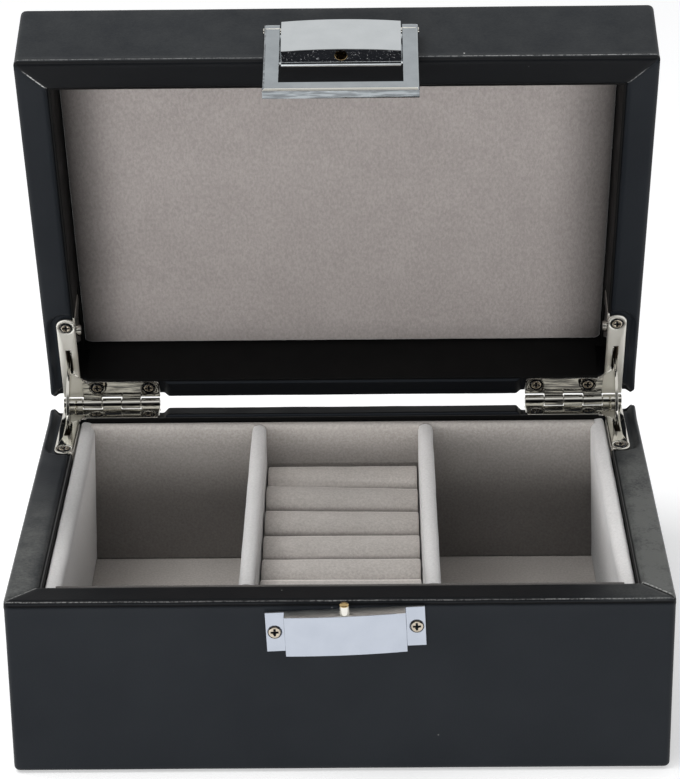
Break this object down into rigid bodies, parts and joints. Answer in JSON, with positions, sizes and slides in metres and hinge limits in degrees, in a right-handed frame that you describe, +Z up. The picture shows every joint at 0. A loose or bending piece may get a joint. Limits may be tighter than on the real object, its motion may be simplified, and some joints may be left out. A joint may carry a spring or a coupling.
{
  "type": "ring display box",
  "caption": "Black leatherette box with a hinged lid, grey velvet compartments, a row of ring rolls between two dividers, quadrant hinges and a bail latch.",
  "frame": {"origin": "middle of the underside of the base, on the surface it stands on", "axes": "+X to the right seen from the front, +Y from the front to the hinges, +Z up"},
  "size_m": [0.2, 0.1764, 0.2062],
  "materials": {
    "leatherette": "satin black leatherette",
    "card": "black covered card",
    "board": "raw fibreboard",
    "felt": "black felt",
    "velvet": "taupe grey velvet",
    "pale_velvet": "light grey velvet",
    "lid_velvet": "warm grey velvet",
    "nickel": "nickel plated steel",
    "chrome": "satin chrome plated casting"
  },
  "bodies": {
    "base": {"base_cover": "leatherette", "base_front_board": "board", "base_back_board": "board", "base_left_board": "board", "base_right_board": "board", "bottom_board": "board", "bottom_felt": "felt", "base_lip": "card", "floor_lining": "velvet", "front_lining": "velvet", "back_lining": "velvet", "left_lining": "pale_velvet", "right_lining": "pale_velvet", "left_divider": "pale_velvet", "right_divider": "pale_velvet", "roll_bed": "velvet", "ring_roll_1": "velvet", "ring_roll_2": "velvet", "ring_roll_3": "velvet", "ring_roll_4": "velvet", "ring_roll_5": "velvet", "ring_roll_6": "velvet", "ring_roll_7": "velvet", "base_leaf_left": "nickel", "base_leaf_right": "nickel", "hinge_pin_left": "nickel", "hinge_pin_right": "nickel", "base_hinge_screws": "nickel", "keeper": "chrome", "keeper_pin": "nickel", "keeper_screws": "nickel"},
    "lid": {"lid_cover": "leatherette", "lid_front_board": "board", "lid_back_board": "board", "lid_left_board": "board", "lid_right_board": "board", "lid_top_board": "board", "lid_lip": "card", "lid_panel": "lid_velvet", "lid_leaf_left": "nickel", "lid_leaf_right": "nickel", "lid_hinge_screws": "nickel", "flange_rivets": "nickel", "latch_body": "chrome", "latch_screws": "nickel", "bail_pivots": "nickel"},
    "stay_left": {"stay_left": "nickel"},
    "stay_right": {"stay_right": "nickel"},
    "bail": {"bail": "chrome"}
  },
  "joints": [
    {"name": "lid_hinge", "type": "hinge", "parent": "base", "child": "lid", "pos_m": [0, 0.0736, 0.0595], "axis": [-1, 0, 0], "range_deg": [-70, 25]},
    {"name": "stay_left_swing", "type": "hinge", "parent": "base", "child": "stay_left", "pos_m": [-0.09245, 0.0736, 0.0595], "axis": [-1, 0, 0], "range_deg": [-35, 12.5]},
    {"name": "stay_right_swing", "type": "hinge", "parent": "base", "child": "stay_right", "pos_m": [0.09245, 0.0736, 0.0595], "axis": [-1, 0, 0], "range_deg": [-35, 12.5]},
    {"name": "bail_hinge", "type": "hinge", "parent": "lid", "child": "bail", "pos_m": [0.0015, 0.03427, 0.20236], "axis": [-1, 0, 0], "range_deg": [0, 100]}
  ],
  "couplings": [
    {"joint": "stay_left_swing", "follows": "lid_hinge", "ratio": 0.5},
    {"joint": "stay_right_swing", "follows": "lid_hinge", "ratio": 0.5}
  ]
}
